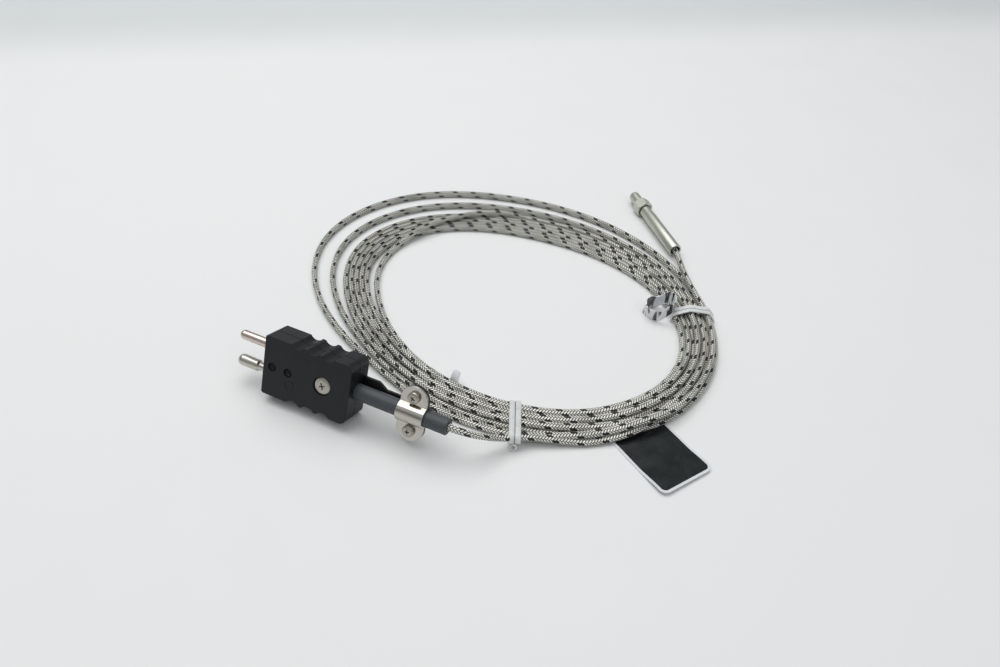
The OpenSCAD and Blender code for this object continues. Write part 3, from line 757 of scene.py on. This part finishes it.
def tieLine(angle, s):  # tight line round all the passes at one angle
    flat = flatness(angle)
    wide, thick = cableSet["width"], cableSet["thickness"]
    spare = s["clear"] + s["thickness"] / 2
    halfAcross = (thick + (wide - thick) * flat) / 2 + spare
    halfUp = (wide + (thick - wide) * flat) / 2 + spare
    spots = []
    for reach, height in passesAt(angle):
        for a in np.radians(np.arange(0, 360, 15)):
            up = max(height + halfUp * math.sin(a), s["thickness"] / 2 + s["floorGap"])
            spots.append(Vector((reach + halfAcross * math.cos(a), up)))
    hull = [spots[k] for k in geometry.convex_hull_2d(spots)]
    loop = np.array([tuple(v) for v in hull + [hull[0]]])
    along = np.concatenate([[0], np.cumsum(np.linalg.norm(np.diff(loop, axis=0), axis=1))])
    even = np.linspace(0, along[-1], s["steps"] + 1)[:-1]
    line = np.stack([np.interp(even, along, loop[:, k]) for k in range(2)], 1)
    for _ in range(s["rounding"]):
        line = (np.roll(line, 1, 0) + 2 * line + np.roll(line, -1, 0)) / 4
    return line


def tieProfile(s):  # two soft ribs with a groove between them
    shape = []
    for k in range(s["sides"]):
        a = 2 * math.pi * (k + 0.5) / s["sides"]
        y = math.sin(a)
        rib = math.sqrt(max(0, 1 - ((abs(y) - 0.54) / 0.5) ** 2))
        thick = max(s["groove"], rib) if abs(y) < 0.98 else rib
        shape.append((s["thickness"] / 2 * mm * thick * math.copysign(1, math.cos(a)), s["width"] / 2 * mm * y))
    return shape


def tiePlane(angle):
    turn = math.radians(angle)
    outward = Vector((math.cos(turn), math.sin(turn), 0))
    upright = Vector((0, 0, 1))
    turned = Matrix((outward, upright, outward.cross(upright))).transposed().to_4x4()
    return Matrix.Translation(coilMiddle * mm) @ turned


# dark finish for the groove between the two ribs: painted shade
tieGrooveShade = vinyl("tieGrooveShade", (0.1, 0.11, 0.115), (0.06, 0.066, 0.07))
tieEdges = {}
for end in ("front", "rear"):
    facts = tieSet[end]
    line = tieLine(facts["angle"], tieSet)
    tieEdges[end] = (line[:, 0].min(), line[:, 0].max())
    band = swept(end + "Band", [(x * mm, y * mm, 0) for x, y in line], tieProfile(tieSet), closed=True)
    bm = bmesh.new()
    bm.from_mesh(band)
    bmesh.ops.remove_doubles(bm, verts=bm.verts, dist=1e-7)
    bmesh.ops.recalc_face_normals(bm, faces=bm.faces)
    for face in bm.faces:
        # faces along the middle of the band get the dark finish, painted shade in the groove
        face.material_index = int(abs(face.calc_center_median().z) < tieSet["grooveShade"] * mm)
    finishPiece(bm, end + "Tie", [finishes["tie_vinyl"], tieGrooveShade], rootBody, (facts["node"],), 50,
                tiePlane(facts["angle"]))

# the front tie ends in a small eye on the outside and a clear tab on the inside
eyeSet = {"radius": 1.2, "tube": 0.4, "height": 1.7, "out": 0.2, "turn": 0.35}
eyeAt = Vector((tieEdges["front"][1] + eyeSet["out"], eyeSet["height"], 0.3)) * mm
eyePlace = (tiePlane(tieSet["front"]["angle"]) @ Matrix.Translation(eyeAt)
            @ Matrix.Rotation(eyeSet["turn"], 4, "Z"))
finishPiece(revolved(ringProfile(eyeSet["radius"], eyeSet["tube"], 14), 32), "frontTieEye", finishes["tie_vinyl"],
            rootBody, (), 50, eyePlace)
tabSet = {"width": 4, "length": 4.4, "thickness": 0.3, "angle": 268, "bend": 2.6, "foot": 1.9, "lift": 0.3,
          "color": (0.93, 0.95, 0.97), "shade": (0.84, 0.86, 0.9)}


def makeTab(s):
    bm = bmesh.new()
    bmesh.ops.create_grid(bm, x_segments=12, y_segments=6, size=0.5)
    for vert in bm.verts:
        x, y = vert.co.x + 0.5, vert.co.y
        wide = s["width"] * (1 - 0.15 * x * x)
        vert.co = Vector((-s["bend"] * x * x - 0.3 * math.cos(6 * y), 0.6 + s["length"] * x, wide * y)) * mm
    bmesh.ops.recalc_face_normals(bm, faces=bm.faces)
    bmesh.ops.solidify(bm, geom=bm.faces, thickness=s["thickness"] * mm)
    bmesh.ops.recalc_face_normals(bm, faces=bm.faces)
    innermost = min(reach for reach, _ in passesAt(s["angle"]))
    place = tiePlane(s["angle"]) @ Matrix.Translation(Vector((innermost - s["foot"], s["lift"], 0)) * mm)
    finishPiece(bm, "frontTieTab", vinyl("tabVinyl", s["color"], s["shade"]), rootBody, (), 40, place)


makeTab(tabSet)
print("ties made")

labelSet = {"middle": (127, 116.6), "radii": (7.4, 5.8), "turn": 20, "height": 6.8, "thickness": 0.5, "rise": 4.2,
            "around": 120, "rows": 6}


def makeLabel(s):  # a stiff strip curled into a loop that stands on its edge
    bm = bmesh.new()
    bmesh.ops.create_circle(bm, segments=s["around"], radius=1)
    rims = list(bm.edges)
    for _ in range(s["rows"]):
        made = bmesh.ops.extrude_edge_only(bm, edges=rims)["geom"]
        rims = [e for e in made if isinstance(e, bmesh.types.BMEdge) and all(v in made for v in e.verts)]
        raised = [v for v in made if isinstance(v, bmesh.types.BMVert)]
        bmesh.ops.translate(bm, vec=(0, 0, 1 / s["rows"]), verts=raised)
    for vert in bm.verts:
        a = math.atan2(vert.co.y, vert.co.x)
        up = vert.co.z
        swell = 1 - 0.055 * math.sin(2 * a + 2.6 * up) - 0.05 * (1 - up) * math.cos(3 * a + 0.8) - 0.055
        lift = s["height"] * up * (0.9 + 0.1 * math.sin(a - 0.6) + 0.05 * math.sin(3 * a))
        over = min(1, max(0, (math.cos(a) + 0.2) / 0.9))  # the far side lies on the bundle
        low = 0.35 * (1 - up) * (1 + math.sin(a + 2)) + s["rise"] * over * over * (3 - 2 * over)
        x, y = math.cos(a) * s["radii"][0] * swell, math.sin(a) * s["radii"][1] * swell
        vert.co = Vector((x, y, lift + low)) * mm
    bmesh.ops.recalc_face_normals(bm, faces=bm.faces)
    bmesh.ops.solidify(bm, geom=bm.faces, thickness=s["thickness"] * mm)
    bmesh.ops.recalc_face_normals(bm, faces=bm.faces)
    place = Matrix.Translation((Vector((*s["middle"], 0)) + planShift) * mm) @ Matrix.Rotation(
        math.radians(s["turn"]), 4, "Z")
    finishPiece(bm, "labelLoop", labelFilm("labelFilm"), rootBody, ("label_band",), 60,
                place)


def labelFilm(name):  # glossy film whose dark and light streaks along its folds are painted shade and painted reflections
    f = Finish(name, (0.7, 0.72, 0.73), 0.12, Coat_Weight=0.6, Coat_Roughness=0.05)
    paintedReflectionStreak = f.noise(1, 2, 0.5, f.stretch((330, 330, 60)))
    f.set("Base Color", f.mix(paintedReflectionStreak.ramp(0.5, 0.58), (0.74, 0.76, 0.77), (0.03, 0.032, 0.034)))
    f.set("Roughness", f.noise(300, 2).ramp(0.3, 0.7, 0.08, 0.2))
    f.set("Normal", f.relief(f.noise(500, 2, 0.5), 0.0001, 0.5))
    return f.material


makeLabel(labelSet)

tagSet = {"corner": (166, 26.4), "turn": 148, "length": 40, "width": 25.4, "round": 3, "thickness": 0.4,
          "border": 1.05, "lift": 1.0, "liftFrom": 24, "slice": 1.5, "tilt": 0.5, "wave": 0.25}


def makeTag(s):
    bm = bmesh.new()
    half = s["width"] / 2 - s["round"]
    corners = [(s["length"] - s["round"], half, 0), (s["round"], half, 90), (s["round"], -half, 180),
               (s["length"] - s["round"], -half, 270)]
    rim = []
    for x, y, first in corners:
        for a in np.radians(np.arange(first, first + 91, 10)):
            rim.append(bm.verts.new(Vector((x + s["round"] * math.cos(a), y + s["round"] * math.sin(a), 0)) * mm))
    top = bm.faces.new(rim)
    made = bmesh.ops.extrude_face_region(bm, geom=[top])["geom"]
    raised = [v for v in made if isinstance(v, bmesh.types.BMVert)]
    bmesh.ops.translate(bm, vec=(0, 0, s["thickness"] * mm), verts=raised)
    upper = next(f for f in made if isinstance(f, bmesh.types.BMFace))
    bmesh.ops.inset_region(bm, faces=[upper], thickness=s["border"] * mm, use_even_offset=True)
    for face in bm.faces:
        face.material_index = 0 if face is upper else 1
    for x in np.arange(s["slice"], s["length"], s["slice"]):
        bmesh.ops.bisect_plane(bm, geom=bm.verts[:] + bm.edges[:] + bm.faces[:], dist=1e-7,
                               plane_co=(x * mm, 0, 0), plane_no=(1, 0, 0))
    for vert in bm.verts:
        x, y = vert.co.x / mm, vert.co.y / mm
        out = max(0, 1 - x / s["liftFrom"])
        bow = s["lift"] * out * out + s["tilt"] * out * (y / s["width"])
        bow += s["wave"] * math.sin(x * 0.3) * min(1, out * 3)
        vert.co.z += max(0.02, bow) * mm
    bmesh.ops.recalc_face_normals(bm, faces=bm.faces)
    place = Matrix.Translation((Vector((*s["corner"], 0)) + planShift) * mm) @ Matrix.Rotation(
        math.radians(s["turn"]), 4, "Z")
    edge = moulded("tagBorder", (0.72, 0.74, 0.75), (0.6, 0.63, 0.64), 0.35, 3000)
    finishPiece(bm, "tagCard", [finishes["tag_card"], edge], rootBody, ("tag",), 30, place)


makeTag(tagSet)
print("label and tag made")


floorSet = {"size": 4.0, "color": (0.83, 0.838, 0.83), "far": (0.68, 0.705, 0.705), "fold": (-0.1078, 0.3816),
            "foldTurn": 36.2, "foldSoft": 0.045}


def makeFloor(s):
    bm = bmesh.new()
    bmesh.ops.create_grid(bm, x_segments=8, y_segments=8, size=s["size"])
    mesh = bpy.data.meshes.new("floor")
    bm.to_mesh(mesh)
    bm.free()
    floor = bpy.data.objects.new("floor", mesh)
    bpy.context.scene.collection.objects.link(floor)
    f = Finish("floorPaper", s["color"], 0.6, Specular_IOR_Level=0.3)
    x, y, _ = f.axes(f.place())
    turn = math.radians(s["foldTurn"])
    beyond = (y - s["fold"][1]) * math.cos(turn) - (x - s["fold"][0]) * math.sin(turn)
    # beyond the fold line the floor is painted darker: painted shade where the backdrop paper would rise
    f.set("Base Color", f.mix(beyond.ramp(-s["foldSoft"], s["foldSoft"]), s["color"], s["far"]))
    f.set("Roughness", f.noise(30, 3).ramp(0.3, 0.7, 0.55, 0.7))
    mesh.materials.append(f.material)


def areaLight(name, place, aim, size, power):
    light = bpy.data.objects.new(name, bpy.data.lights.new(name, "AREA"))
    light.data.shape = "RECTANGLE"
    light.data.size, light.data.size_y = size
    light.data.energy = power
    light.location = place
    light.rotation_euler = (Vector(aim) - Vector(place)).to_track_quat("-Z", "Y").to_euler()
    bpy.context.scene.collection.objects.link(light)


makeFloor(floorSet)
lightSet = {"key": ((-0.3, 0.28, 1.05), (0.04, 0.08, 0), (1.2, 0.9), 7.7),
            "fill": ((0.75, -0.25, 0.9), (0.04, 0.08, 0), (0.7, 0.7), 0.8)}
worldSet = {"strength": 0.63, "bands": [(0, (0.86, 0.88, 0.88, 1)), (0.2, (0.8, 0.82, 0.83, 1)),
                                       (0.34, (0.2, 0.205, 0.21, 1)), (0.8, (0.95, 0.975, 1.0, 1))]}
for name, (place, aim, size, power) in lightSet.items():
    areaLight(name, place, aim, size, power)
world = bpy.data.worlds.new("world")
bpy.context.scene.world = world
world.use_nodes = True
room = world.node_tree  # a pale backdrop, darker walls and a bright ceiling, from the horizon up
direction = room.nodes.new("ShaderNodeTexCoord")
height = room.nodes.new("ShaderNodeSeparateXYZ")
shade = room.nodes.new("ShaderNodeValToRGB")
stops = shade.color_ramp.elements
while len(stops) < len(worldSet["bands"]):
    stops.new(1)
for stop, (position, color) in zip(stops, worldSet["bands"]):
    stop.position = position
    stop.color = color
room.links.new(direction.outputs["Generated"], height.inputs["Vector"])
room.links.new(height.outputs["Z"], shade.inputs["Fac"])
room.links.new(shade.outputs["Color"], room.nodes["Background"].inputs["Color"])
room.nodes["Background"].inputs["Strength"].default_value = worldSet["strength"]
bpy.context.scene.view_settings.view_transform = "Standard"
print("stage made")
